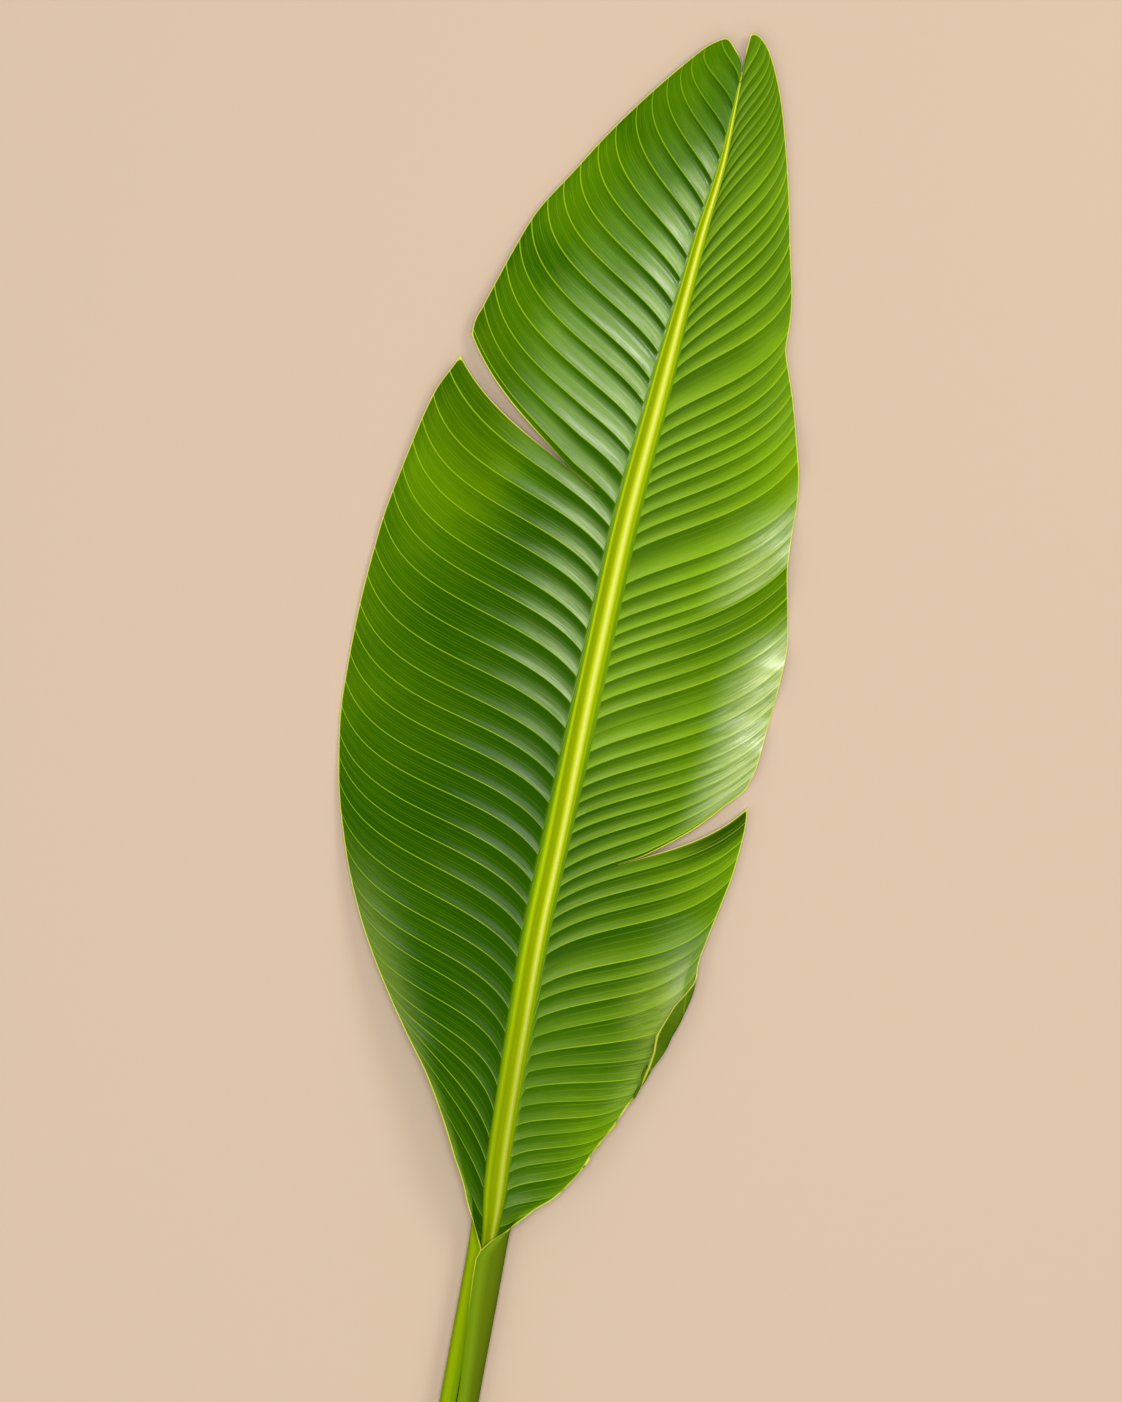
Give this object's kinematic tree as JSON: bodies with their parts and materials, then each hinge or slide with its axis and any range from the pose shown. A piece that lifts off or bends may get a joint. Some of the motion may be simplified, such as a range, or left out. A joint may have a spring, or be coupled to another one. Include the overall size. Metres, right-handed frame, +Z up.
{
  "type": "bird of paradise leaf",
  "caption": "White bird of paradise leaf with its stalk: a long oblong ribbed blade, a channelled midrib, torn edges, a rolled lower margin and a notched tip, lying upper face up.",
  "frame": {"origin": "centre of the leaf's extent on the surface it lies on", "axes": "+Y from the cut end of the stalk towards the tip, +X to the right of the leaf seen from above, +Z up, out of its upper face"},
  "size_m": [0.2142, 0.8026, 0.0269],
  "materials": {
    "leaf": "satin"
  },
  "bodies": {
    "root": {"leaf": "leaf"}
  },
  "joints": []
}
